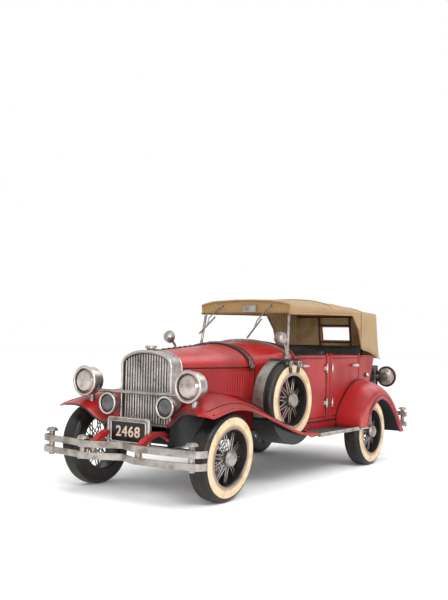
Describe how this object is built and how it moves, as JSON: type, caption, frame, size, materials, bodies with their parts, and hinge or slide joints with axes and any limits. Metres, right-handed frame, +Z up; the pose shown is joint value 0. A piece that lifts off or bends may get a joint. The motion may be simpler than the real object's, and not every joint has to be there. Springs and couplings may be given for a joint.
{
  "type": "friction tin car",
  "caption": "Friction-drive tin model of a four-door 1930s open tourer with spoked wheels, side-mounted spares, opening doors and a raised canvas top.",
  "frame": {"origin": "middle of the footprint on the ground, under the floor", "axes": "+X towards the nose, +Y towards the left side, +Z up"},
  "size_m": [0.4128, 0.1522, 0.1564],
  "materials": {
    "red_paint": "weathered gloss",
    "black_paint": "satin",
    "worn_silver": "brushed and stained",
    "tyre": "satin",
    "black_leather": "tufted",
    "strap_leather": "worn",
    "canvas": "woven",
    "dark_red": "satin",
    "lens": "pearl",
    "steel": "satin",
    "brass": "satin",
    "dark_plate": "satin"
  },
  "bodies": {
    "root": {"body_tub": "red_paint", "canvas_top": "canvas", "chassis_rails": "black_paint", "cowl": "red_paint", "door_hinges": "worn_silver", "fender_inner_panels": "black_paint", "floor_pan": "black_paint", "frame_horns": "red_paint", "front_axle": "steel", "front_bumper": "worn_silver", "front_fenders": "red_paint", "front_seat": "black_leather", "grille_bars": "worn_silver", "headlight_lenses": "lens", "headlight_shells": "worn_silver", "hood_sides": "red_paint", "hood_strap": "strap_leather", "hood_top": "red_paint", "lamp_bar": "worn_silver", "license_plate": "worn_silver", "motor_frame": "steel", "radiator_cap": "worn_silver", "radiator_shell": "worn_silver", "rear_bumper": "worn_silver", "rear_fenders": "red_paint", "rear_seat": "black_leather", "running_boards": "worn_silver", "side_mirrors": "worn_silver", "spare_bands": "worn_silver", "spare_hub_caps": "worn_silver", "spare_mounts": "steel", "spare_straps": "strap_leather", "spare_tyres": "tyre", "spare_wire_wheels": "worn_silver", "steering_column": "black_paint", "tail_lamps": "worn_silver", "top_bows": "dark_red", "trunk": "black_paint", "trunk_rack": "black_paint", "windshield_frame": "worn_silver", "wipers": "worn_silver"},
    "front_left_wheel": {"front_left_tyre": "tyre", "front_left_wire_wheel": "worn_silver", "front_left_hub_cap": "worn_silver"},
    "front_right_wheel": {"front_right_tyre": "tyre", "front_right_wire_wheel": "worn_silver", "front_right_hub_cap": "worn_silver"},
    "rear_wheel_set": {"rear_axle": "steel", "axle_gear": "brass", "rear_tyres": "tyre", "rear_wire_wheels": "worn_silver", "rear_hub_caps": "worn_silver"},
    "idler_set": {"idler_gears": "brass"},
    "flywheel_set": {"flywheel": "steel", "flywheel_shaft": "steel"},
    "front_left_door_body": {"front_left_door": "red_paint"},
    "front_right_door_body": {"front_right_door": "red_paint"},
    "rear_left_door_body": {"rear_left_door": "red_paint"},
    "rear_right_door_body": {"rear_right_door": "red_paint"},
    "steering": {"steering_wheel": "black_paint"}
  },
  "joints": [
    {"name": "front_left_wheel_spin", "type": "hinge", "parent": "root", "child": "front_left_wheel", "pos_m": [0.15, 0.0613, 0.03218], "axis": [0, 0.9972, -0.075], "continuous": true},
    {"name": "front_right_wheel_spin", "type": "hinge", "parent": "root", "child": "front_right_wheel", "pos_m": [0.15, -0.0613, 0.03218], "axis": [0, 0.9972, 0.075], "continuous": true},
    {"name": "rear_wheel_spin", "type": "hinge", "parent": "root", "child": "rear_wheel_set", "pos_m": [-0.091, 0, 0.032], "axis": [0, 1, 0], "continuous": true},
    {"name": "idler_spin", "type": "hinge", "parent": "root", "child": "idler_set", "pos_m": [-0.10211, 0, 0.04132], "axis": [0, 1, 0], "continuous": true},
    {"name": "flywheel_spin", "type": "hinge", "parent": "root", "child": "flywheel_set", "pos_m": [-0.11655, 0, 0.04258], "axis": [0, 1, 0], "continuous": true},
    {"name": "front_left_door_swing", "type": "hinge", "parent": "root", "child": "front_left_door_body", "pos_m": [-0.0355, 0.0487, 0.076], "axis": [0, 0, 1], "range_deg": [0, 65]},
    {"name": "front_right_door_swing", "type": "hinge", "parent": "root", "child": "front_right_door_body", "pos_m": [-0.0355, -0.0487, 0.076], "axis": [0, 0, -1], "range_deg": [0, 65]},
    {"name": "rear_left_door_swing", "type": "hinge", "parent": "root", "child": "rear_left_door_body", "pos_m": [-0.0465, 0.0487, 0.076], "axis": [0, 0, -1], "range_deg": [0, 65]},
    {"name": "rear_right_door_swing", "type": "hinge", "parent": "root", "child": "rear_right_door_body", "pos_m": [-0.0465, -0.0487, 0.076], "axis": [0, 0, 1], "range_deg": [0, 65]},
    {"name": "steering_wheel_turn", "type": "hinge", "parent": "root", "child": "steering", "pos_m": [0.002, 0.022, 0.097], "axis": [0.848, 0, -0.5299], "range_deg": [-170, 170]}
  ],
  "couplings": [
    {"joint": "idler_spin", "follows": "rear_wheel_spin", "ratio": -3},
    {"joint": "flywheel_spin", "follows": "rear_wheel_spin", "ratio": 9}
  ]
}
